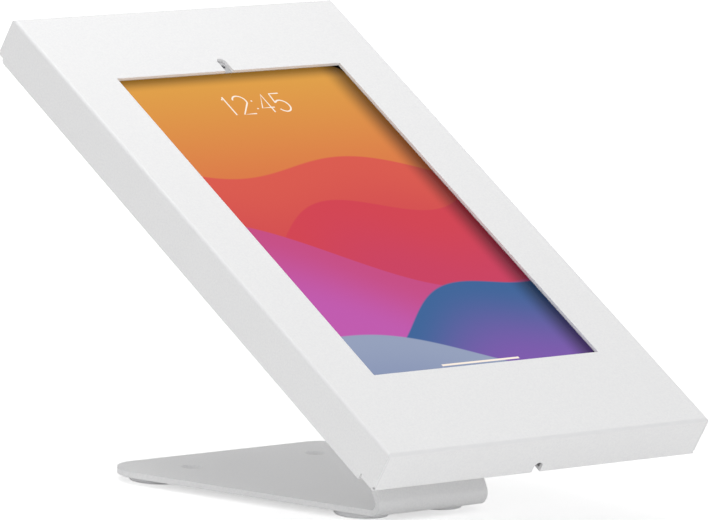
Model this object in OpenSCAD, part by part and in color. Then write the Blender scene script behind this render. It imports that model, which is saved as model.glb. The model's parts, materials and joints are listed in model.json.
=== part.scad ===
// Tablet security kiosk stand: a locked sheet-metal enclosure round a tablet,
// carried face-up on a bent plate with a splayed base.
// X runs across the face, Y towards the back, Z up. The origin lies on the
// table, under the middle of the whole object. All sizes are in millimetres.

/* [Tablet] */
// Width of the lit display
display_w = 142; // [130:0.5:160]
// Height of the lit display
display_h = 227.5; // [210:0.5:250]
// Dark border round the display
bezel = 9.75; // [7.25:0.25:12]
// Thickness of the tablet
tablet_t = 6.9; // [5.5:0.1:8]
// Corner radius of the tablet
tablet_corner = 12; // [8:1:20]
// Wall of the tablet's shell
shell_wall = 2; // [1.6:0.1:2.4]
// Back of the tablet's shell
shell_back = 1; // [0.8:0.1:1.4]
// Thickness of the cover glass
glass_t = 0.7; // [0.5:0.1:0.9]
// Thickness of the display panel
panel_t = 0.8; // [0.6:0.1:1]
// How far a tablet button can be pressed
button_travel = 0.35; // [0.25:0.05:0.4]

/* [Enclosure] */
// Face left beside the window
side_border = 30; // [28:0.5:45]
// Face left above the window
top_border = 50; // [47:0.5:60]
// Face left below the window
bottom_border = 54.5; // [50:0.5:65]
// How far the window's edge laps over the display
window_lap = 1; // [0.75:0.25:2.5]
// Depth of the top and bottom walls
end_depth = 21; // [20.5:0.5:30]
// Extra depth of the side walls, where they turn into the rear flanges
flange_step = 2; // [1:0.25:3.5]
// Width of the rear flanges
flange_w = 8; // [5:0.5:9]
// Width of the bottom wall's rear flange
low_flange_w = 5; // [4:0.5:6]
// Thickness of the folded sheet
sheet = 1.5; // [1.2:0.1:1.8]
// Inside radius of the folds round the face
fold_in = 0.3; // [0.2:0.1:1.5]
// Width of the camera slot above the window
camera_slot_w = 5; // [4:0.25:7]
// Length of the camera slot
camera_slot_l = 9.5; // [8.5:0.25:12]
// Width of the cable notch in the bottom wall
cable_notch_w = 5; // [5:0.5:12]
// Depth of the cable notch from the rear edge
cable_notch_d = 5.5; // [5:0.25:10]
// Slope of the face from the table
tilt = 30; // [27:1:36]

/* [Back] */
// Thickness of the back plate
back_t = 1.5; // [1.2:0.1:2]
// Back plate held in from the side walls
back_inset = 3; // [2.5:0.25:5]
// Height of the hinge axis above the bottom of the enclosure
hinge_up = 8; // [7.5:0.25:9]
// Diameter of the hinge pins
hinge_pin_d = 4; // [3:0.25:4.5]
// Distance between the two hinges
hinge_span = 140; // [110:1:160]
// Lock axis below the top of the enclosure
lock_drop = 24; // [23.5:0.25:27]
// Diameter of the lock's threaded body
lock_body_d = 16; // [14:0.5:17]
// Diameter of the lock's turning plug
lock_plug_d = 11; // [9:0.5:11.5]
// Reach of the lock's cam from its axis
cam_reach = 20; // [18:0.5:20.5]
// Foam between the tablet and its cradle
pad_t = 3.8; // [2.5:0.1:4.5]
// Foam between the cover and the tablet's glass
gasket_t = 0.5; // [0.4:0.1:1.5]

/* [Stand] */
// Thickness of the bent plate
plate_t = 3; // [2.5:0.25:5]
// Inside radius of the plate's bends
bend_r = 3; // [2.5:0.25:7]
// Width of the arm and of the lower bend
arm_w = 68; // [64:1:90]
// Slope of the arm from the table
arm_angle = 60; // [54:1:70]
// Length of the base from the bend's front to its rear edge
base_depth = 158; // [145:1:190]
// Width of the base across its rear corners
base_rear_w = 148; // [140:1:190]
// Radius of the base's rear corners
base_corner_r = 19; // [16:1:28]
// Reach of the enclosure's bottom rear edge in front of the bend
overhang = 70; // [60:1:80]
// Height of the enclosure's bottom rear edge above the table
edge_height = 34; // [32:0.5:45]
// Distance across the four mounting screws
mount_span_x = 50; // [36:1:52]
// Distance up the slope between the mounting screws
mount_span_u = 75; // [50:1:76]
// Diameter of the mounting screws
mount_screw_d = 6; // [4:0.5:6]
// Distance between the two bolt-down holes
bolt_span = 78; // [66:1:82]
// Bolt-down holes in from the rear edge
bolt_inset = 26; // [18:0.5:32]
// Diameter of the bolt-down holes
bolt_hole_d = 6; // [4.5:0.1:6.5]
// Diameter of the countersinks over the bolt-down holes
countersink_d = 10; // [8.5:0.1:11]
// Diameter of the rubber feet
foot_d = 26.5; // [22:0.5:28]
// Height of the rubber feet
foot_h = 3; // [2:0.25:6]
// Distance between the front feet
front_foot_span = 46; // [40:1:54]
// Front feet back from the bend's front
front_foot_back = 25; // [23:0.5:40]

/* [Hidden] */
$fn = 64;

// Colours
powder_white = [0.93, 0.93, 0.93];
zinc = [0.75, 0.76, 0.78];
foam_black = [0.12, 0.12, 0.13];
rubber_grey = [0.68, 0.68, 0.69];
tablet_grey = [0.66, 0.67, 0.7];

// Clearances: running fit, loose fit, gap between parts that move past each other
run_fit = 0.05;
loose_fit = 0.15;
move_gap = 0.3;
// Overlap that makes a cut pass clean through
over = 1;

// Face, window and tablet
window_w = display_w - 2 * window_lap;
window_h = display_h - 2 * window_lap;
face_w = window_w + 2 * side_border;
face_h = window_h + top_border + bottom_border;
tablet_w = display_w + 2 * bezel;
tablet_h = display_h + 2 * bezel;
tablet_u = (bottom_border - top_border) / 2;
glass_depth = sheet + gasket_t + move_gap;
tablet_back = glass_depth + tablet_t;

// Depths behind the face
fold_r = sheet + fold_in;
side_depth = end_depth + flange_step;
back_front = side_depth + move_gap;
back_rear = back_front + back_t;
cradle_front = tablet_back + pad_t;

// Steps in the side walls where the flanges begin and end
low_step = hinge_up + 2;
high_step = 4;
step_chamfer = 1.2;
relief_r = 0.6;
relief_in = 1.2;
relief_slot = 0.8;

// Hinge axis in the enclosure's own plane
hinge_u = hinge_up - face_h / 2;
hinge_depth = end_depth - 3.5;
hinge_boss_r = hinge_pin_d / 2 + 2;
ear_t = 2;
leaf_w = 14;
leaf_t = 2;
leaf_l = 14;
low_flange_l = hinge_span - 4 * leaf_w;
pin_head_r = hinge_pin_d / 2 + 1.5;
pin_head_t = 1.5;

// The cover's bottom wall swings under the back plate's lower edge
swing_r = norm([hinge_up, end_depth - hinge_depth]);
back_low = hinge_u + swing_r - 1.7;
back_high = face_h / 2 - 5;
back_w = face_w - 2 * back_inset;
back_corner = 6;

// Lock
lock_u = face_h / 2 - lock_drop;
lock_head_r = lock_body_d / 2 + 3;
lock_head_t = 2;
lock_front = 10.2;
lock_nut_t = 3;
cam_t = 2;
cam_w = 12;
cam_gap = 0.2;
cam_boss_r = 7;
tang = 6;
cam_screw_d = 3;
plug_lip = 1.5;
keyway = [1.6, 7, 9];
catch_w = 24;
catch_t = 2;
catch_gap = 0.5;
catch_l = 12;
catch_leg = 7.5;

// Cradle behind the tablet
stop_gap = 0.4;
stop_w = 4.8;
stop_l = 24;
cradle_edge = 0.85;
cradle_w = tablet_w + 2 * (stop_gap + stop_w + cradle_edge);
cradle_h = tablet_h + 2 * (stop_gap + stop_w + cradle_edge);
cradle_foot = 13.5;
cradle_screw_d = 3.8;
cradle_screw_x = (cradle_w - cradle_foot) / 2;
cradle_screw_rows = [-1, 0, 1];
cradle_screw_pitch = 100;
cradle_rail = 30;
cradle_bar = 50;
pad_size = [24, 60];
pad_end_gap = 24;

// Stand: outside bend radius, then the place of the enclosure over the bend
bend_out = bend_r + plate_t;
bend_steps = 24;
edge_y = -overhang;
face_mid = [edge_y + face_h / 2 * cos(tilt) - end_depth * sin(tilt),
            edge_height + face_h / 2 * sin(tilt) + end_depth * cos(tilt)];
front_y = edge_y + fold_r * cos(tilt) - (end_depth - fold_r) * sin(tilt) - fold_r;
rear_y = edge_y + face_h * cos(tilt);
bend_y = -(front_y + rear_y) / 2;
low_centre = [bend_out, foot_h + bend_out];

function along(a) = [cos(a), sin(a)];
function outward(a) = [-sin(a), cos(a)];
function crossed(p, q) = p[0] * q[1] - p[1] * q[0];

// The arm leaves the lower bend and turns once more to lie on the back plate
arm_start = low_centre + bend_out * outward(arm_angle);
back_point = face_mid - back_rear * outward(tilt);
arm_reach = crossed(back_point - arm_start, along(tilt)) / crossed(along(arm_angle), along(tilt));
arm_turn = arm_angle - tilt;
arm_l = arm_reach - bend_out * tan(arm_turn / 2);
high_centre = arm_start + arm_l * along(arm_angle) - bend_out * outward(arm_angle);
tongue_start = high_centre + bend_out * outward(tilt);
tongue_low = (tongue_start - back_point) * along(tilt);
tongue_corner = 10;
tongue_margin = 12;
mount_u = tongue_low + tongue_margin + mount_span_u / 2;
tongue_l = mount_span_u + 2 * tongue_margin;
mount_head_r = mount_screw_d * 0.85;
mount_head_t = mount_screw_d / 2;
mount_nut_t = mount_screw_d * 0.8;
mount_nut_r = mount_screw_d * 0.95;
socket_r = mount_screw_d * 0.38;

// Base outline
rear_corner = [base_rear_w / 2 - base_corner_r, base_depth - base_corner_r];
taper_start = [arm_w / 2, bend_out];
to_corner = rear_corner - taper_start;
taper_angle = atan2(to_corner[1], to_corner[0]) - asin(base_corner_r / norm(to_corner));
taper_end = rear_corner - base_corner_r * outward(taper_angle);
foot_chamfer = 0.6;

// Frame on the face: X across, Y up the slope, Z out of the face
module on_face() {
  translate([0, bend_y + face_mid[0], face_mid[1]]) rotate([tilt, 0, 0]) children();
}

// Frame on the table under the bend's front
module on_base() {
  translate([0, bend_y, 0]) children();
}

// Side profile: the children's x runs to the back, y up, and they are extruded across
module across(w) {
  rotate([90, 0, 90]) linear_extrude(w, center = true) children();
}

// Both sides of the middle plane
module both_sides() {
  children();
  mirror([1, 0, 0]) children();
}

// Rectangle with round corners, exact arcs
module round_rect(w, h, r) {
  square([w - 2 * r, h], center = true);
  square([w, h - 2 * r], center = true);
  for (sx = [-1, 1], sy = [-1, 1])
    translate([sx * (w / 2 - r), sy * (h / 2 - r)]) circle(r);
}

// Outline of a pan that is open below, with its two upper corners folded
module folded_outline(w, d, r) {
  polygon([[-w / 2, -d], [w / 2, -d], [w / 2, -r], [w / 2 - r, 0], [r - w / 2, 0], [-w / 2, -r]]);
  for (s = [-1, 1])
    translate([s * (w / 2 - r), -r]) circle(r);
}

// Block with folded edges round its face
module folded_block(w, h, d, r) {
  intersection() {
    rotate([90, 0, 0]) linear_extrude(h, center = true) folded_outline(w, d, r);
    across(w) folded_outline(h, d, r);
  }
}

// Plate parallel to the face between two depths
module slab(front, rear) {
  translate([0, 0, -rear]) linear_extrude(rear - front) children();
}

// Places of repeated fasteners
module at_mounts() {
  for (sx = [-1, 1], su = [-1, 1])
    translate([sx * mount_span_x / 2, mount_u + su * mount_span_u / 2, 0]) children();
}

module at_cradle_screws() {
  for (sx = [-1, 1], row = cradle_screw_rows)
    translate([sx * cradle_screw_x, tablet_u + row * cradle_screw_pitch, 0]) children();
}

module at_bolts() {
  for (s = [-1, 1])
    translate([s * bolt_span / 2, base_depth - bolt_inset, 0]) children();
}

module at_feet() {
  for (s = [-1, 1]) {
    translate([s * rear_corner[0], rear_corner[1], 0]) children();
    translate([s * front_foot_span / 2, front_foot_back, 0]) children();
  }
}

// Upright rod between two depths
module rod(r, front, rear) {
  translate([0, 0, -rear]) cylinder(r = r, h = rear - front);
}

// Stand

// Points of the right half, then the same points mirrored in reverse order
function mirrored(points) = concat(points, [for (i = [len(points) - 1 : -1 : 0]) [-points[i][0], points[i][1]]]);

module base_outline() {
  polygon(mirrored([taper_start, taper_end, rear_corner, [rear_corner[0], base_depth]]));
  both_sides() translate(rear_corner) circle(base_corner_r);
}

// Points of an arc in the side profile
function arc(centre, r, from, to) =
  [for (i = [0 : bend_steps]) centre + r * along(from + (to - from) * i / bend_steps)];

// The plate seen from the side: lower bend, arm, upper bend and tongue
module arm_profile() {
  tongue_end = tongue_start + tongue_l * along(tilt);
  polygon(concat(
    arc(low_centre, bend_out, 270, 90 + arm_angle),
    arc(high_centre, bend_out, 90 + arm_angle, 90 + tilt),
    [tongue_end, tongue_end - plate_t * outward(tilt)],
    arc(high_centre, bend_r, 90 + tilt, 90 + arm_angle),
    arc(low_centre, bend_r, 90 + arm_angle, 270)));
}

// What the cut corners take off the tongue's upper end
module tongue_corners() {
  both_sides()
    translate([arm_w / 2, tongue_low + tongue_l, -back_rear - plate_t - over])
      linear_extrude(plate_t + 2 * over)
        polygon([[-tongue_corner - over, over], [over, -tongue_corner - over], [over, over]]);
}

module stand_plate() {
  color(powder_white)
  difference() {
    on_base() {
      translate([0, 0, foot_h]) linear_extrude(plate_t) base_outline();
      across(arm_w) arm_profile();
    }
    on_face() tongue_corners();
    on_base() at_bolts() {
      cylinder(d = bolt_hole_d, h = foot_h + plate_t + over);
      translate([0, 0, foot_h + plate_t - (countersink_d - bolt_hole_d) / 2])
        cylinder(d1 = bolt_hole_d, d2 = countersink_d, h = (countersink_d - bolt_hole_d) / 2);
    }
    on_face() at_mounts()
      rod(mount_screw_d / 2 + loose_fit, back_rear - over, back_rear + plate_t + over);
  }
}

module rubber_feet() {
  color(rubber_grey)
  on_base() at_feet() {
    cylinder(r1 = foot_d / 2 - foot_chamfer, r2 = foot_d / 2, h = foot_chamfer);
    translate([0, 0, foot_chamfer]) cylinder(d = foot_d, h = foot_h - foot_chamfer);
  }
}

module mount_screws() {
  color(zinc)
  on_face() at_mounts() difference() {
    union() {
      rod(mount_screw_d / 2, back_front - mount_nut_t - over, back_rear + plate_t);
      rod(mount_head_r, back_rear + plate_t, back_rear + plate_t + mount_head_t);
    }
    translate([0, 0, -back_rear - plate_t - mount_head_t - over])
      cylinder(r = socket_r, h = mount_head_t * 0.6 + over, $fn = 6);
  }
}

module mount_nuts() {
  color(zinc)
  on_face() at_mounts() difference() {
    translate([0, 0, -back_front]) cylinder(r = mount_nut_r, h = mount_nut_t, $fn = 6);
    rod(mount_screw_d / 2 + run_fit, back_front - mount_nut_t - over, back_front + over);
  }
}

// Back plate and cradle

back_notch = [cable_notch_w + 4, 10];

module back_plate() {
  color(powder_white)
  on_face() difference() {
    slab(back_front, back_rear) difference() {
      translate([0, (back_low + back_high) / 2]) round_rect(back_w, back_high - back_low, back_corner);
      translate([0, back_low]) square([back_notch[0], 2 * (back_notch[1] - back_notch[0] / 2)], center = true);
      translate([0, back_low + back_notch[1] - back_notch[0] / 2]) circle(back_notch[0] / 2);
    }
    at_mounts() rod(mount_screw_d / 2 + loose_fit, back_front - over, back_rear + over);
    at_cradle_screws() rod(cradle_screw_d / 2 + loose_fit, back_front - over, back_rear + over);
    translate([0, lock_u, 0]) rod(lock_body_d / 2 + loose_fit, back_front - over, back_rear + over);
  }
}

cradle_window = [cradle_w - 2 * cradle_rail, cradle_h / 2 - cradle_bar];

module tablet_cradle() {
  color(zinc)
  on_face() difference() {
    translate([0, tablet_u, 0]) rotate([90, 0, 0]) linear_extrude(cradle_h, center = true)
      polygon(mirrored([
        [cradle_w / 2, -cradle_front], [cradle_w / 2, -back_front],
        [cradle_w / 2 - cradle_foot, -back_front], [cradle_w / 2 - cradle_foot, sheet - back_front],
        [cradle_w / 2 - sheet, sheet - back_front], [cradle_w / 2 - sheet, -cradle_front - sheet]]));
    for (s = [-1, 1])
      translate([0, tablet_u + s * cradle_h / 4, 0])
        slab(cradle_front - over, cradle_front + sheet + over) round_rect(cradle_window[0], cradle_window[1], 8);
    at_cradle_screws() rod(cradle_screw_d / 2 + run_fit, back_front - sheet - over, back_front + over);
  }
}

module cradle_screws() {
  color(zinc)
  on_face() at_cradle_screws() {
    rod(cradle_screw_d / 2, back_front - sheet - over, back_rear);
    rod(cradle_screw_d * 0.95, back_rear, back_rear + cradle_screw_d / 2);
  }
}

pad_x = cradle_w / 2 - cradle_rail + pad_size[0] / 2;
pad_u = tablet_h / 2 - pad_size[1] / 2 - pad_end_gap;

module foam_pads() {
  color(foam_black)
  on_face() for (sx = [-1, 1], su = [-1, 1])
    translate([sx * pad_x, tablet_u + su * pad_u, 0])
      slab(tablet_back, cradle_front) square(pad_size, center = true);
}

// Angle block that keeps one corner of the tablet in place
module corner_stop() {
  inner = [tablet_w / 2 + stop_gap, tablet_h / 2 + stop_gap];
  slab(glass_depth + over, cradle_front) difference() {
    translate(inner - [stop_l, stop_l]) square(stop_l + stop_w);
    translate(inner - 2 * [stop_l, stop_l]) square(2 * stop_l);
  }
}

module corner_stops() {
  color(foam_black)
  on_face() translate([0, tablet_u, 0])
    both_sides() {
      corner_stop();
      mirror([0, 1, 0]) corner_stop();
    }
}

// Front cover and what it carries

module flange() {
  translate([face_w / 2 - sheet - flange_w, low_step - face_h / 2, -side_depth])
    cube([flange_w + sheet / 2, face_h - low_step - high_step, sheet]);
}

// The bottom wall's own flange runs between the hinges
module low_flange() {
  translate([-low_flange_l / 2, (sheet - face_h) / 2, -end_depth])
    cube([low_flange_l, low_flange_w - sheet / 2, sheet]);
}

// Cuts that leave the side walls deeper between the steps than at the corners
module wall_steps() {
  translate([-face_w / 2 - over, -face_h / 2 - over, -side_depth - over])
    cube([face_w + 2 * over, low_step + over, flange_step + over]);
  translate([-face_w / 2 - over, face_h / 2 - high_step, -side_depth - over])
    cube([face_w + 2 * over, high_step + over, flange_step + over]);
  translate([0, face_h / 2 - high_step, -side_depth]) rotate([45, 0, 0])
    cube([face_w + 2 * over, step_chamfer * sqrt(2), step_chamfer * sqrt(2)], center = true);
  both_sides()
    translate([face_w / 2 - 2 * sheet, low_step - face_h / 2, -side_depth - over])
      cube([3 * sheet, relief_slot, flange_step + sheet + over]);
}

// Relief hole at the rear end of a welded corner
module corner_relief() {
  translate([face_w / 2, face_h / 2, relief_in - end_depth]) rotate(45)
    translate([-3 * sheet, 0, 0]) rotate([0, 90, 0]) cylinder(r = relief_r, h = 6 * sheet);
}

module window_cuts() {
  translate([0, tablet_u, 0]) {
    slab(-over, sheet + over) square([window_w, window_h], center = true);
    slab(-over, sheet + over) {
      translate([0, window_h / 2 + (camera_slot_l - camera_slot_w / 2) / 2])
        square([camera_slot_w, camera_slot_l - camera_slot_w / 2 + over], center = true);
      translate([0, window_h / 2 + camera_slot_l - camera_slot_w / 2]) circle(camera_slot_w / 2);
    }
  }
}

// The notch passes through the bottom wall and its flange
module cable_notch() {
  r = cable_notch_w / 2;
  translate([0, low_flange_w + over - face_h / 2, -end_depth]) rotate([90, 0, 0])
    linear_extrude(low_flange_w + 2 * over) {
      translate([-r, -over]) square([cable_notch_w, cable_notch_d - r + over]);
      translate([0, cable_notch_d - r]) circle(r);
    }
}

module front_cover() {
  color(powder_white)
  on_face() difference() {
    union() {
      difference() {
        folded_block(face_w, face_h, side_depth, fold_r);
        translate([0, 0, -sheet])
          folded_block(face_w - 2 * sheet, face_h - 2 * sheet, side_depth, fold_r - sheet);
      }
      both_sides() flange();
      low_flange();
    }
    wall_steps();
    both_sides() {
      corner_relief();
      mirror([0, 1, 0]) corner_relief();
    }
    window_cuts();
    cable_notch();
  }
}

front_camera_r = 1.1;
camera_u = tablet_h / 2 - (bezel + shell_wall) / 2;
camera_body_r = (bezel - shell_wall) / 2 - loose_fit;
gasket_in = 0.4;
gasket_w = camera_slot_l;

module window_gasket() {
  color(powder_white)
  on_face() translate([0, tablet_u, 0]) slab(sheet, sheet + gasket_t) difference() {
    square([window_w + 2 * (gasket_in + gasket_w), window_h + 2 * (gasket_in + gasket_w)], center = true);
    square([window_w + 2 * gasket_in, window_h + 2 * gasket_in], center = true);
    translate([0, camera_u]) circle(front_camera_r + loose_fit);
  }
}

// Hinges: ears that lie beside each other on a common pin
bracket_ear_x = hinge_span / 2;
lug_ear_x = bracket_ear_x + ear_t + move_gap;

module ear(x, outline_r) {
  translate([x, 0, 0]) rotate([90, 0, 90]) linear_extrude(ear_t) difference() {
    union() {
      translate([hinge_u, -hinge_depth]) circle(hinge_boss_r);
      children();
    }
    translate([hinge_u, -hinge_depth]) circle(outline_r);
  }
}

module cover_hinge_lugs() {
  wall_in = sheet - face_h / 2;
  lug_rear = end_depth - 0.3;
  color(zinc)
  on_face() both_sides() {
    ear(lug_ear_x, hinge_pin_d / 2 + run_fit)
      polygon([[wall_in, hinge_boss_r - hinge_depth], [hinge_u, hinge_boss_r - hinge_depth],
        [hinge_u, -hinge_depth], [wall_in, -lug_rear]]);
    translate([lug_ear_x + ear_t, wall_in, -lug_rear]) cube([leaf_w - ear_t, leaf_t, leaf_l]);
  }
}

module hinge_brackets() {
  foot_low = back_low + 1;
  color(zinc)
  on_face() both_sides() {
    ear(bracket_ear_x, hinge_pin_d / 2 + run_fit / 2)
      polygon([[hinge_u, hinge_boss_r - hinge_depth], [foot_low + leaf_l, leaf_t - back_front],
        [foot_low + leaf_l, -back_front], [foot_low, -back_front], [hinge_u, -hinge_depth]]);
    translate([bracket_ear_x - leaf_w + ear_t, foot_low, -back_front]) cube([leaf_w - ear_t, leaf_l, leaf_t]);
  }
}

module hinge_pins() {
  pin_end = lug_ear_x + ear_t + move_gap;
  color(zinc)
  on_face() both_sides()
    translate([0, hinge_u, -hinge_depth]) rotate([0, 90, 0]) {
      translate([0, 0, bracket_ear_x - pin_head_t]) cylinder(r = pin_head_r, h = pin_head_t);
      translate([0, 0, bracket_ear_x]) cylinder(d = hinge_pin_d, h = pin_end - bracket_ear_x);
      translate([0, 0, pin_end]) cylinder(r = pin_head_r, h = pin_head_t);
    }
}

// Cam lock, keyed from behind

module on_lock() {
  on_face() translate([0, lock_u, 0]) children();
}

plug_head_r = lock_plug_d / 2 + 1.2;

module lock_body() {
  color(zinc)
  on_lock() difference() {
    union() {
      rod(lock_body_d / 2, lock_front, back_rear);
      rod(lock_head_r, back_rear, back_rear + lock_head_t);
    }
    rod(lock_plug_d / 2 + run_fit, lock_front - over, back_rear + lock_head_t + over);
    rod(plug_head_r + run_fit, back_rear + lock_head_t - plug_lip, back_rear + lock_head_t + over);
  }
}

module lock_nut() {
  color(zinc)
  on_lock() difference() {
    translate([0, 0, -back_front]) cylinder(r = lock_body_d / 2 + 4, h = lock_nut_t, $fn = 6);
    rod(lock_body_d / 2 + run_fit, back_front - lock_nut_t - over, back_front + over);
  }
}

module lock_plug() {
  plug_rear = back_rear + lock_head_t - cam_gap;
  cam_front = lock_front - cam_gap - cam_t;
  color(zinc)
  on_lock() difference() {
    union() {
      rod(lock_plug_d / 2, lock_front - cam_gap, plug_rear);
      rod(plug_head_r, back_rear + lock_head_t - plug_lip + run_fit, plug_rear);
      translate([-tang / 2, -tang / 2, -lock_front + cam_gap]) cube([tang, tang, cam_t]);
    }
    translate([-keyway[0] / 2, -keyway[1] / 2, -plug_rear - over]) cube([keyway[0], keyway[1], keyway[2] + over]);
    rod(cam_screw_d / 2 + run_fit, cam_front - over, cam_front + 7);
  }
}

module lock_cam() {
  cam_front = lock_front - cam_gap - cam_t;
  color(zinc)
  on_lock() slab(cam_front, cam_front + cam_t) difference() {
    union() {
      circle(cam_boss_r);
      translate([0, -cam_w / 2]) square([cam_reach, cam_w]);
    }
    square(tang + 2 * run_fit, center = true);
  }
}

module lock_cam_screw() {
  cam_front = lock_front - cam_gap - cam_t;
  color(zinc)
  on_lock() {
    rod(cam_screw_d / 2, cam_front, cam_front + 6);
    difference() {
      rod(tang * 0.75, cam_front - cam_t, cam_front);
      translate([0, 0, -cam_front + cam_t]) cube([2 * tang, 1, 2], center = true);
    }
  }
}

// Angle on the top wall that the cam closes in front of
module lock_catch() {
  wall_in = face_h / 2 - sheet;
  catch_front = lock_front - cam_gap + catch_gap;
  color(zinc)
  on_face() {
    translate([-catch_w / 2, wall_in - catch_l, -catch_front - catch_t]) cube([catch_w, catch_l, catch_t]);
    translate([-catch_w / 2, wall_in - catch_t, -catch_front - catch_leg]) cube([catch_w, catch_t, catch_leg]);
  }
}

// Tablet

glass_rim = 0.8;
ledge = shell_wall;
tablet_top = tablet_h / 2;
rear_camera_r = 5;
rear_camera_proud = 1;
rear_camera_inset = 15;
rear_camera_at = [tablet_w / 2 - rear_camera_inset, tablet_top - rear_camera_inset];
button_size = [11, 2.2];
button_proud = button_travel + 0.25;
button_lip = 0.8;
button_depth = glass_depth + tablet_t / 2;
power_x = tablet_w / 2 + stop_gap - stop_l - button_size[0] / 2 - 3;
volume_x = -power_x;
volume_pitch = 15;
port_size = [9, 3.2];
port_l = 6;
port_wall = 0.35;
panel_rear = glass_depth + glass_t + panel_t;
inner_back = tablet_back - shell_back;
battery_gap = 2;
battery_end_gap = 45;
battery_drop = 12;
battery_size = [(tablet_w - 2 * shell_wall) / 2 - 3 * battery_gap, tablet_h - 2 * battery_end_gap];
board_drop = 18;
board_size = [2 * (rear_camera_at[0] - rear_camera_r - battery_gap), 24];
board_t = 1.2;

module on_tablet() {
  on_face() translate([0, tablet_u, 0]) children();
}

module tablet_outline(inset) {
  round_rect(tablet_w - 2 * inset, tablet_h - 2 * inset, tablet_corner - inset);
}

// Hole through the top wall that a button slides in
module button_hole(x) {
  translate([x - button_size[0] / 2 - loose_fit, tablet_top - shell_wall - over,
             -button_depth - button_size[1] / 2 - loose_fit])
    cube([button_size[0] + 2 * loose_fit, shell_wall + 2 * over, button_size[1] + 2 * loose_fit]);
}

module port_outline(inset) {
  round_rect(port_size[0] - 2 * inset, port_size[1] - 2 * inset, port_size[1] / 2 - inset - 0.01);
}

module tablet_shell() {
  color(tablet_grey)
  on_tablet() difference() {
    slab(glass_depth, tablet_back) tablet_outline(0);
    slab(glass_depth - over, glass_depth + glass_t) tablet_outline(glass_rim);
    slab(glass_depth - over, inner_back) tablet_outline(ledge);
    translate([rear_camera_at[0], rear_camera_at[1], 0])
      rod(rear_camera_r + loose_fit, inner_back - over, tablet_back + over);
    for (x = [power_x, volume_x, volume_x + volume_pitch]) button_hole(x);
    translate([0, -tablet_top - over, -button_depth]) rotate([-90, 0, 0])
      linear_extrude(shell_wall + 2 * over) port_outline(-loose_fit);
  }
}

module tablet_glass() {
  color([0.08, 0.08, 0.09])
  on_tablet() difference() {
    slab(glass_depth, glass_depth + glass_t) tablet_outline(glass_rim + run_fit);
    translate([0, camera_u, 0])
      rod(front_camera_r + run_fit, glass_depth - over, glass_depth + glass_t + over);
  }
}

module tablet_display() {
  color([0.85, 0.35, 0.3])
  on_tablet() slab(glass_depth + glass_t, panel_rear) square([display_w, display_h], center = true);
}

module tablet_battery() {
  color([0.15, 0.15, 0.16])
  on_tablet() for (s = [-1, 1])
    translate([s * (battery_size[0] / 2 + battery_gap), -battery_drop, 0])
      slab(panel_rear + 0.3, inner_back) round_rect(battery_size[0], battery_size[1], 3);
}

module tablet_board() {
  color([0.1, 0.3, 0.2])
  on_tablet() translate([0, tablet_top - shell_wall - board_drop, 0])
    slab(inner_back - board_t, inner_back) square(board_size, center = true);
}

module front_camera() {
  color([0.05, 0.05, 0.08])
  on_tablet() translate([0, camera_u, 0]) {
    rod(front_camera_r, glass_depth + run_fit, glass_depth + glass_t);
    rod(camera_body_r, glass_depth + glass_t, inner_back - board_t - over);
  }
}

module rear_camera() {
  color(tablet_grey)
  on_tablet() translate([rear_camera_at[0], rear_camera_at[1], 0]) difference() {
    rod(rear_camera_r, inner_back - over, tablet_back + rear_camera_proud);
    rod(rear_camera_r - 1, tablet_back + rear_camera_proud / 2, tablet_back + rear_camera_proud + over);
  }
}

// Button with a lip inside the wall that keeps it from falling out
module tablet_button(x) {
  lip_u = tablet_top - shell_wall - run_fit;
  color(tablet_grey)
  on_tablet() translate([x, 0, -button_depth]) {
    translate([-button_size[0] / 2, lip_u, -button_size[1] / 2])
      cube([button_size[0], tablet_top + button_proud - lip_u, button_size[1]]);
    translate([-button_size[0] / 2 - 0.5, lip_u - button_lip, -button_size[1] / 2 - 0.3])
      cube([button_size[0] + 1, button_lip, button_size[1] + 0.6]);
  }
}

module power_button() {
  tablet_button(power_x);
}

module volume_up_button() {
  tablet_button(volume_x);
}

module volume_down_button() {
  tablet_button(volume_x + volume_pitch);
}

module charging_port() {
  color(zinc)
  on_tablet() translate([0, 0.2 - tablet_top, -button_depth]) rotate([-90, 0, 0]) difference() {
    linear_extrude(port_l) port_outline(0);
    translate([0, 0, -over]) linear_extrude(port_l) port_outline(port_wall);
  }
}

stand_plate();
rubber_feet();
mount_screws();
mount_nuts();
back_plate();
tablet_cradle();
cradle_screws();
foam_pads();
corner_stops();
front_cover();
window_gasket();
cover_hinge_lugs();
hinge_brackets();
hinge_pins();
lock_body();
lock_nut();
lock_plug();
lock_cam();
lock_cam_screw();
lock_catch();
tablet_shell();
tablet_glass();
tablet_display();
tablet_battery();
tablet_board();
front_camera();
rear_camera();
power_button();
volume_up_button();
volume_down_button();
charging_port();
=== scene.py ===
"""Looks of the tablet security kiosk stand: finishes, the lit screen, a white studio and the camera."""

import json
import math

import bpy
from mathutils import Matrix, Vector


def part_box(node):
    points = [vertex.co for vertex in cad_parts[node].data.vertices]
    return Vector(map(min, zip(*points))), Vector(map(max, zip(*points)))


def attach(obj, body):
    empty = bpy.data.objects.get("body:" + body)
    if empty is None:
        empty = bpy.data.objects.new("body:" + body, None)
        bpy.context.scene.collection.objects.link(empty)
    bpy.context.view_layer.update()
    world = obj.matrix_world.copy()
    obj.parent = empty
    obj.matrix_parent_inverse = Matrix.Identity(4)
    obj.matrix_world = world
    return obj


MM = 0.001

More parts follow.
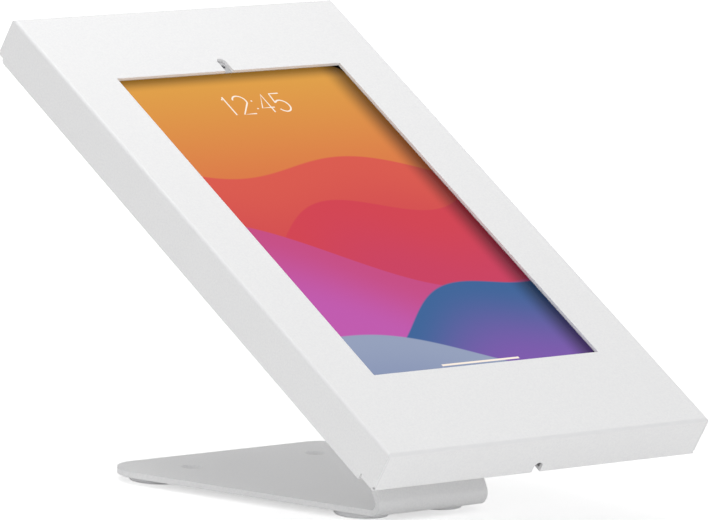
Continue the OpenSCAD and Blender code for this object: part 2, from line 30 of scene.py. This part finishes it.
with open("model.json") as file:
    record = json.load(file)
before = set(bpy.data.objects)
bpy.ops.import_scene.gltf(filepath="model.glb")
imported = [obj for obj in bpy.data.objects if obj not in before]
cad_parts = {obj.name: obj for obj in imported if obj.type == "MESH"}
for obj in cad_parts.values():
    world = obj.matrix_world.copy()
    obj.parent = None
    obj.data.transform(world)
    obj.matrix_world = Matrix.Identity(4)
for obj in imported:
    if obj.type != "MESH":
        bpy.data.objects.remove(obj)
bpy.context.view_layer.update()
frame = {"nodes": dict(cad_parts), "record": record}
nodes = frame["nodes"]

# The face leans back from the table; these are its own directions.
TILT = math.radians(30)
ACROSS = Vector((1, 0, 0))
UP_SLOPE = Vector((0, math.cos(TILT), math.sin(TILT)))
OUT = Vector((0, -math.sin(TILT), math.cos(TILT)))

DISPLAY_W = 142 * MM
DISPLAY_H = 227.5 * MM
DISPLAY_CORNER = 7 * MM
WINDOW_W = 140 * MM
WINDOW_H = 225.5 * MM

panel_low, panel_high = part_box("tablet_display")
PANEL = (panel_low + panel_high) / 2
PANEL_T = 0.8 * MM
GLASS_T = 0.7 * MM
GLASS_FRONT = PANEL + OUT * (PANEL_T / 2 + GLASS_T)

# The front cover's own reach in the face's directions
cover = nodes["front_cover"]
cover_points = [cover.matrix_world @ vertex.co for vertex in cover.data.vertices]
FACE_OUT = max(point.dot(OUT) for point in cover_points)
FACE_TOP = max(point.dot(UP_SLOPE) for point in cover_points)
FACE_LOW = min(point.dot(UP_SLOPE) for point in cover_points)
FACE_SIDE = max(point.dot(ACROSS) for point in cover_points)
FOLD_R = 1.8 * MM
FOLD_CREST = FOLD_R * (math.sqrt(2) - 1)

# Lines in the coat beside the welded corners, measured from the side walls
SEAM_IN = 1.1 * MM
SEAM_CORE = 0.2 * MM
SEAM_EDGE = 0.5 * MM
END_WALL_SKIN = 0.05 * MM

# Finishes
NOISE_DETAIL = 3.0
PATCH_SPREAD = (0.3, 0.7)
GLOSS_SPREAD = (0.2, 0.8)
GLOSS_SWING = 0.05
GRAIN_HEIGHT = 0.2 * MM

# Screen: the picture's layers, the shade beside the window and the disc round the camera
WAVE_TURN = 1.6
LAYER_FADE = 0.55
CREST_BLUR = 0.006
RIGHT_SHADE = 15 * MM
RIGHT_SHADE_LEVEL = 0.27
TOP_SHADE = 9 * MM
TOP_SHADE_START = -0.5 * MM
TOP_SHADE_LEVEL = 0.37
CAMERA_DISC = (2.8 * MM, 3.2 * MM)
MARK_LIFT = 0.04
ARC_STEPS = 28


def linear(red, green, blue):
    """Colour as seen on a screen, 0 to 255, turned into light."""
    levels = []
    for level in (red, green, blue):
        share = level / 255
        levels.append(share / 12.92 if share <= 0.04045 else ((share + 0.055) / 1.055) ** 2.4)
    return (*levels, 1)


class Graph:
    """A material's node tree with short ways to add to it."""

    def __init__(self, name):
        self.material = bpy.data.materials.new(name)
        self.material.use_nodes = True
        self.tree = self.material.node_tree
        self.tree.nodes.clear()
        self.out = self.add("ShaderNodeOutputMaterial")

    def add(self, kind, **settings):
        node = self.tree.nodes.new(kind)
        for key, value in settings.items():
            setattr(node, key, value)
        return node

    def feed(self, socket, value):
        if isinstance(value, bpy.types.NodeSocket):
            self.tree.links.new(value, socket)
        else:
            socket.default_value = value

    def math(self, operation, *values):
        node = self.add("ShaderNodeMath", operation=operation)
        for socket, value in zip(node.inputs, values):
            self.feed(socket, value)
        return node.outputs[0]

    def dot(self, vector, direction):
        node = self.add("ShaderNodeVectorMath", operation="DOT_PRODUCT")
        self.feed(node.inputs[0], vector)
        node.inputs[1].default_value = direction
        return node.outputs["Value"]

    def ramp(self, value, low, high, to_low=0.0, to_high=1.0, smooth=True):
        node = self.add("ShaderNodeMapRange")
        node.interpolation_type = "SMOOTHSTEP" if smooth else "LINEAR"
        for socket, level in zip(node.inputs, (value, low, high, to_low, to_high)):
            self.feed(socket, level)
        return node.outputs[0]

    def mix(self, share, first, second):
        node = self.add("ShaderNodeMix", data_type="RGBA")
        self.feed(node.inputs[0], share)
        self.feed(node.inputs[6], first)
        self.feed(node.inputs[7], second)
        return node.outputs[2]

    def hypot(self, first, second):
        squares = self.math("ADD", self.math("POWER", first, 2.0), self.math("POWER", second, 2.0))
        return self.math("SQRT", squares)

    def noise(self, scale):
        node = self.add("ShaderNodeTexNoise")
        self.feed(node.inputs["Vector"], self.place())
        node.inputs["Scale"].default_value = scale
        node.inputs["Detail"].default_value = NOISE_DETAIL
        return node.outputs["Fac"]

    def place(self):
        return self.add("ShaderNodeTexCoord").outputs["Object"]

    def surface(self, shader):
        self.tree.links.new(shader, self.out.inputs["Surface"])
        return self.material


def painted_fold_shade_and_seam(graph):
    """1 along the folds round the face, where a darker tone is painted as shade on the rounding turned from
    the light, and 1 on a dark seam line beside the welded corners.
    """
    place = graph.place()
    depth = graph.math("SUBTRACT", FACE_OUT, graph.dot(place, OUT))
    aside = graph.math("ABSOLUTE", graph.dot(place, ACROSS))
    middle = (FACE_TOP + FACE_LOW) / 2
    along = graph.math("ABSOLUTE", graph.math("SUBTRACT", graph.dot(place, UP_SLOPE), middle))
    half = (FACE_TOP - FACE_LOW) / 2
    past_side = graph.math("SUBTRACT", graph.math("SUBTRACT", aside, depth), FACE_SIDE - FOLD_R)
    past_end = graph.math("SUBTRACT", graph.math("SUBTRACT", along, depth), half - FOLD_R)
    fold_shade = graph.ramp(graph.math("MAXIMUM", past_side, past_end), 0.0, FOLD_CREST)
    from_seam = graph.math("ABSOLUTE", graph.math("SUBTRACT", FACE_SIDE - SEAM_IN, aside))
    seam = graph.ramp(from_seam, SEAM_CORE, SEAM_EDGE, 1.0, 0.0)
    on_end = graph.math("GREATER_THAN", along, half - END_WALL_SKIN)
    return graph.math("MAXIMUM", fold_shade, graph.math("MULTIPLY", seam, on_end))


def finish(name, colour, shade, roughness, metallic=0.0, specular=0.5, patch=35.0, grain=900.0, depth=0.02,
           edge=0.0, fold_shade_and_seam=None):
    """A coated, moulded or metal surface: two near shades, uneven gloss, fine grain and soft edges."""
    graph = Graph(name)
    shader = graph.add("ShaderNodeBsdfPrincipled")
    patches = graph.ramp(graph.noise(patch), *PATCH_SPREAD)
    tone = graph.mix(patches, linear(*colour), linear(*shade))
    # Painted shade: a darker tone along the folds round the face, where the rounding turns from the light;
    # the same tone draws a dark seam line beside the welded corners.
    if fold_shade_and_seam:
        tone = graph.mix(painted_fold_shade_and_seam(graph), tone, linear(*fold_shade_and_seam))
    graph.feed(shader.inputs["Base Color"], tone)
    least = roughness - GLOSS_SWING
    most = roughness + GLOSS_SWING
    gloss = graph.ramp(graph.noise(grain / 2), *GLOSS_SPREAD, least, most)
    graph.feed(shader.inputs["Roughness"], gloss)
    shader.inputs["Metallic"].default_value = metallic
    shader.inputs["Specular IOR Level"].default_value = specular
    bump = graph.add("ShaderNodeBump")
    bump.inputs["Strength"].default_value = depth
    bump.inputs["Distance"].default_value = GRAIN_HEIGHT
    graph.feed(bump.inputs["Height"], graph.noise(grain))
    if edge:
        bevel = graph.add("ShaderNodeBevel", samples=4)
        bevel.inputs["Radius"].default_value = edge
        graph.feed(bump.inputs["Normal"], bevel.outputs[0])
    graph.feed(shader.inputs["Normal"], bump.outputs[0])
    return graph.surface(shader.outputs[0])


def picture(graph, across, up):
    """Layered dunes in warm colours: across and up run from -1 to 1 over the display."""
    sky = graph.ramp(up, 0.05, 1.0, smooth=False)
    colour = graph.mix(sky, linear(216, 96, 62), linear(222, 160, 62))
    layers = [
        # height, slope, wave, turns, shift, colour at the crest, colour further down
        (0.34, -0.10, 0.10, 1.6, 0.4, (216, 84, 70), (208, 66, 72)),
        (0.02, 0.16, 0.13, 1.9, 2.2, (208, 58, 74), (200, 56, 92)),
        (-0.30, -0.20, 0.12, 1.5, 4.1, (196, 70, 128), (190, 84, 172)),
        (-0.62, 0.22, 0.10, 2.1, 0.9, (52, 96, 150), (122, 84, 170)),
        (-0.90, -0.16, 0.07, 1.7, 3.0, (146, 158, 186), (120, 134, 172)),
    ]
    for height, slope, wave, turns, shift, near, far in layers:
        swing = graph.math("SINE", graph.math("MULTIPLY_ADD", across, turns * WAVE_TURN, shift))
        slant = graph.math("MULTIPLY_ADD", across, slope, height)
        crest = graph.math("MULTIPLY_ADD", swing, wave, slant)
        under = graph.math("SUBTRACT", crest, up)
        body = graph.mix(graph.ramp(under, 0.0, LAYER_FADE), linear(*near), linear(*far))
        colour = graph.mix(graph.ramp(under, -CREST_BLUR, CREST_BLUR), colour, body)
    return colour


def past_half(graph, place, size):
    """How far a place lies beyond the start of the display's rounded corners, or 0."""
    past = graph.math("SUBTRACT", graph.math("ABSOLUTE", place), size / 2 - DISPLAY_CORNER)
    return graph.math("MAXIMUM", past, 0.0)


def screen_glass():
    """Black-bordered cover glass; the lit picture is dimmer beside the top and right of the window."""
    graph = Graph("screen_glass")
    shift = graph.add("ShaderNodeVectorMath", operation="SUBTRACT")
    graph.feed(shift.inputs[0], graph.place())
    shift.inputs[1].default_value = PANEL
    across = graph.dot(shift.outputs[0], ACROSS)
    up = graph.dot(shift.outputs[0], UP_SLOPE)
    reach = graph.hypot(past_half(graph, across, DISPLAY_W), past_half(graph, up, DISPLAY_H))
    lit = graph.math("LESS_THAN", reach, DISPLAY_CORNER)
    from_right = graph.math("SUBTRACT", WINDOW_W / 2, across)
    from_top = graph.math("SUBTRACT", WINDOW_H / 2, up)
    side_shade = graph.ramp(from_right, 0.0, RIGHT_SHADE, RIGHT_SHADE_LEVEL, 1.0)
    top_shade = graph.ramp(from_top, TOP_SHADE_START, TOP_SHADE, TOP_SHADE_LEVEL, 1.0)
    lit = graph.math("MULTIPLY", graph.math("MULTIPLY", lit, side_shade), top_shade)
    share_across = graph.math("DIVIDE", across, DISPLAY_W / 2)
    share_up = graph.math("DIVIDE", up, DISPLAY_H / 2)
    colour = picture(graph, share_across, share_up)
    eye_low, eye_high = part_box("front_camera")
    eye = (eye_low + eye_high) / 2 - PANEL
    eye_across = graph.math("SUBTRACT", across, eye.dot(ACROSS))
    eye_up = graph.math("SUBTRACT", up, eye.dot(UP_SLOPE))
    beyond_disc = graph.ramp(graph.hypot(eye_across, eye_up), *CAMERA_DISC)
    border = graph.mix(beyond_disc, linear(128, 130, 136), linear(14, 14, 16))
    shader = graph.add("ShaderNodeBsdfPrincipled")
    graph.feed(shader.inputs["Base Color"], border)
    graph.feed(shader.inputs["Roughness"], graph.ramp(graph.noise(60.0), *PATCH_SPREAD, 0.08, 0.12))
    shader.inputs["Specular IOR Level"].default_value = 0.04
    graph.feed(shader.inputs["Emission Color"], colour)
    graph.feed(shader.inputs["Emission Strength"], lit)
    return graph.surface(shader.outputs[0])


def glow(name, colour, shade):
    """Light from a mark on the screen, a little uneven."""
    graph = Graph(name)
    shader = graph.add("ShaderNodeEmission")
    graph.feed(shader.inputs["Color"], graph.mix(graph.noise(120.0), linear(*colour), linear(*shade)))
    return graph.surface(shader.outputs[0])


def lens_glass():
    """Camera lens: grey glass under a clear coat."""
    graph = Graph("lens_glass")
    shader = graph.add("ShaderNodeBsdfPrincipled")
    tone = graph.ramp(graph.noise(800.0), *PATCH_SPREAD)
    graph.feed(shader.inputs["Base Color"], graph.mix(tone, linear(176, 178, 184), linear(160, 162, 170)))
    shader.inputs["Roughness"].default_value = 0.12
    shader.inputs["Coat Weight"].default_value = 0.6
    return graph.surface(shader.outputs[0])


looks = {
    # The coat's darker tone along the face's folds is painted shade.
    "powder_coat": finish("powder_coat", (245, 245, 245), (240, 240, 241), 0.42, specular=0.3, patch=1000.0,
                          depth=0.2, edge=0.35 * MM, fold_shade_and_seam=(235, 235, 236)),
    "foot_rubber": finish("foot_rubber", (238, 238, 239), (232, 232, 234), 0.7, grain=1500.0, depth=0.06),
    "zinc_steel": finish("zinc_steel", (196, 198, 202), (180, 183, 190), 0.35, metallic=1.0, edge=0.2 * MM),
    "lock_metal": finish("lock_metal", (206, 206, 208), (190, 190, 194), 0.22, metallic=1.0, edge=0.2 * MM),
    "black_foam": finish("black_foam", (44, 44, 46), (36, 36, 38), 0.9, grain=2200.0, depth=0.4),
    "white_foam": finish("white_foam", (196, 196, 198), (188, 188, 190), 0.9, grain=2200.0, depth=0.3),
    "stop_plastic": finish("stop_plastic", (48, 48, 50), (42, 42, 44), 0.55, edge=0.3 * MM),
    "tablet_metal": finish("tablet_metal", (176, 178, 182), (168, 170, 175), 0.38, metallic=1.0,
                           grain=2600.0),
    "front_glass": screen_glass(),
    "display_panel": finish("display_panel", (214, 90, 80), (200, 70, 90), 0.3),
    "cell_wrap": finish("cell_wrap", (50, 50, 54), (44, 44, 48), 0.6),
    "circuit_board": finish("circuit_board", (34, 92, 64), (28, 80, 56), 0.45),
    "lens": lens_glass(),
}
for part in frame["record"]["subparts"]:
    piece = nodes[part["node"]]
    piece.data.materials.clear()
    piece.data.materials.append(looks[part["material_slot"]])


def on_screen(x, u):
    """Point just off the screen, x and u in millimetres from its middle."""
    return GLASS_FRONT + ACROSS * (x * MM) + UP_SLOPE * (u * MM) + OUT * (MARK_LIFT * MM)


mark_light = glow("mark_light", (255, 244, 230), (255, 240, 224))


def ribbon(name, strokes, width):
    """Flat strokes of one width on the screen; each stroke is a list of points in millimetres."""
    points = []
    faces = []
    for stroke in strokes:
        first = len(points)
        for i, (x, u) in enumerate(stroke):
            before = Vector(stroke[max(i - 1, 0)])
            after = Vector(stroke[min(i + 1, len(stroke) - 1)])
            along = (after - before).normalized()
            side = Vector((-along.y, along.x)) * (width / 2)
            points.append(on_screen(x + side.x, u + side.y))
            points.append(on_screen(x - side.x, u - side.y))
            if i:
                k = first + 2 * i
                faces.append((k - 2, k - 1, k + 1, k))
    mesh = bpy.data.meshes.new(name)
    mesh.from_pydata(points, [], faces)
    mark = bpy.data.objects.new(name, mesh)
    bpy.context.scene.collection.objects.link(mark)
    mesh.materials.append(mark_light)
    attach(mark, "stand")


def arc(x, u, wide, tall, start, end):
    """Points along part of an oval, angles in degrees."""
    turns = [math.radians(start + (end - start) * i / ARC_STEPS) for i in range(ARC_STEPS + 1)]
    return [(x + wide * math.cos(a), u + tall * math.sin(a)) for a in turns]


def digit(value, x, u, wide, tall):
    """Strokes of a thin 1, 2, 4 or 5 whose lower left corner is at x, u."""
    mid = x + wide / 2
    half = wide / 2
    if value == 1:
        return [[(mid - 0.9, u + tall * 0.84), (mid + 0.6, u + tall), (mid + 0.6, u)]]
    if value == 2:
        bowl = arc(mid, u + tall * 0.72, half, tall * 0.28, 165, -30)
        return [bowl + [(x, u), (x + wide, u)]]
    if value == 4:
        stem = mid + half * 0.45
        bar = u + tall * 0.27
        return [[(stem, u), (stem, u + tall), (x, bar), (x + wide, bar)]]
    bowl = arc(mid, u + tall * 0.31, half, tall * 0.31, 140, -150)
    flag = [(x + wide * 0.92, u + tall), (x + wide * 0.16, u + tall), (x + wide * 0.08, u + tall * 0.5)]
    return [flag + bowl]


# Clock and bar, in millimetres from the middle of the screen
CLOCK_U = 82.0
CLOCK_TALL = 14.0
CLOCK_WIDE = 7.6
CLOCK_STROKE = 0.85
CLOCK_DIGITS = ((1, -20.0), (2, -10.8), (4, 3.0), (5, 12.6))
COLON_RANGE = (-0.5, 0.4)
COLON_HEIGHTS = (3.6, 9.6)
BAR_HALF = 24.0
BAR_U = -108.5
BAR_STROKE = 1.3

clock = []
for numeral, start in CLOCK_DIGITS:
    clock += digit(numeral, start, CLOCK_U, CLOCK_WIDE, CLOCK_TALL)
for height in COLON_HEIGHTS:
    clock.append([(x, CLOCK_U + height) for x in COLON_RANGE])
ribbon("clock_digits", clock, CLOCK_STROKE)
ribbon("home_bar", [[(-BAR_HALF, BAR_U), (BAR_HALF, BAR_U)]], BAR_STROKE)


# Studio, in metres
FRONT_FILL = 0.6
REAR_FILL = 0.3
FLOOR_SIZE = 40
FLOOR_DROP = 0.0002
PAPER = ((0.9, 0.9, 0.9, 1), (0.92, 0.92, 0.92, 1))
FLOOR_NEAR = 0.3
FLOOR_FAR = 1.5
FLOOR_NEAR_LIGHT = 0.55


def seen_rays(tree):
    """1 for rays from the camera, in a reflection or through glass, which meet plain white."""
    path = tree.nodes.new("ShaderNodeLightPath")
    share = path.outputs["Is Camera Ray"]
    for name in ("Is Glossy Ray", "Is Transmission Ray"):
        larger = tree.nodes.new("ShaderNodeMath")
        larger.operation = "MAXIMUM"
        tree.links.new(share, larger.inputs[0])
        tree.links.new(path.outputs[name], larger.inputs[1])
        share = larger.outputs[0]
    return share


def studio_world():
    """Soft white light, stronger from the front than from behind; seen directly it is plain white."""
    world = bpy.data.worlds.new("studio")
    bpy.context.scene.world = world
    world.use_nodes = True
    tree = world.node_tree
    tree.nodes.clear()
    out = tree.nodes.new("ShaderNodeOutputWorld")
    mix = tree.nodes.new("ShaderNodeMixShader")
    fill = tree.nodes.new("ShaderNodeBackground")
    fill.inputs["Color"].default_value = (1, 1, 1, 1)
    way = tree.nodes.new("ShaderNodeSeparateXYZ")
    tree.links.new(tree.nodes.new("ShaderNodeTexCoord").outputs["Generated"], way.inputs[0])
    level = tree.nodes.new("ShaderNodeMapRange")
    for socket, value in zip(level.inputs, (way.outputs["Y"], -1.0, 1.0, FRONT_FILL, REAR_FILL)):
        if isinstance(value, float):
            socket.default_value = value
        else:
            tree.links.new(value, socket)
    tree.links.new(level.outputs[0], fill.inputs["Strength"])
    seen = tree.nodes.new("ShaderNodeBackground")
    seen.inputs["Color"].default_value = (1, 1, 1, 1)
    seen.inputs["Strength"].default_value = 1.0
    tree.links.new(seen_rays(tree), mix.inputs[0])
    tree.links.new(fill.outputs[0], mix.inputs[1])
    tree.links.new(seen.outputs[0], mix.inputs[2])
    tree.links.new(mix.outputs[0], out.inputs["Surface"])


def studio_floor():
    """White paper that shows the shadow of the part and fades into the background."""
    bpy.ops.mesh.primitive_plane_add(size=FLOOR_SIZE, location=(0, 0, -FLOOR_DROP))
    floor = bpy.context.object
    floor.name = "floor"
    graph = Graph("studio_white")
    paper = graph.add("ShaderNodeBsdfDiffuse")
    graph.feed(paper.inputs["Color"], graph.mix(graph.noise(3.0), *PAPER))
    distance = graph.add("ShaderNodeVectorMath", operation="LENGTH")
    graph.feed(distance.inputs[0], graph.place())
    lift = graph.ramp(distance.outputs["Value"], FLOOR_NEAR, FLOOR_FAR, FLOOR_NEAR_LIGHT, 1.0)
    light = graph.add("ShaderNodeEmission")
    graph.feed(light.inputs["Strength"], graph.math("MULTIPLY", seen_rays(graph.tree), lift))
    both = graph.add("ShaderNodeAddShader")
    graph.feed(both.inputs[0], paper.outputs[0])
    graph.feed(both.inputs[1], light.outputs[0])
    floor.data.materials.append(graph.surface(both.outputs[0]))


def softbox(name, place, target, size, power, mirrored=True):
    """Square lamp turned to a target; one that isn't mirrored leaves no glare on glossy surfaces."""
    light = bpy.data.lights.new(name, "AREA")
    light.shape = "SQUARE"
    light.size = size
    light.energy = power
    lamp = bpy.data.objects.new(name, light)
    bpy.context.scene.collection.objects.link(lamp)
    lamp.location = place
    lamp.rotation_mode = "QUATERNION"
    lamp.rotation_quaternion = (Vector(target) - Vector(place)).to_track_quat("-Z", "Y")
    lamp.visible_camera = False
    lamp.visible_glossy = mirrored


studio_world()
studio_floor()
softbox("top_box", (-0.15, 0.2, 1.0), (0, 0, 0.1), 0.5, 3.3)
softbox("side_box", (-1.45, -0.45, 0.3), (0, 0, 0.1), 0.8, 4.6, mirrored=False)
softbox("front_box", (0.2, -2.2, 0.35), (0, 0, 0.05), 1.2, 13, mirrored=False)

# Camera: seen from the front left, a little above, from far off
HEADING = math.radians(41.057)
LIFT = math.radians(8.953)
ROLL = math.radians(-2.462)
EYE = Vector((-2467.38, -2836.39, 705.75)) * MM
PICTURE_W = 709
FOCAL = 8000

ahead = Vector((math.sin(HEADING), math.cos(HEADING), 0))
view_line = ahead * math.cos(LIFT) - Vector((0, 0, 1)) * math.sin(LIFT)
level = Vector((math.cos(HEADING), -math.sin(HEADING), 0))
down = -(Vector((0, 0, 1)) * math.cos(LIFT) + ahead * math.sin(LIFT))
right = level * math.cos(ROLL) + down * math.sin(ROLL)
below = down * math.cos(ROLL) - level * math.sin(ROLL)

lens = bpy.data.cameras.new("camera")
lens.sensor_width = 36
lens.lens = lens.sensor_width * FOCAL / PICTURE_W
lens.clip_start = 0.05
lens.clip_end = 100
camera = bpy.data.objects.new("camera", lens)
bpy.context.scene.collection.objects.link(camera)
camera.matrix_world = Matrix((
    (right.x, -below.x, -view_line.x, EYE.x),
    (right.y, -below.y, -view_line.y, EYE.y),
    (right.z, -below.z, -view_line.z, EYE.z),
    (0, 0, 0, 1),
))
bpy.context.scene.camera = camera
bpy.context.scene.view_settings.view_transform = "Standard"
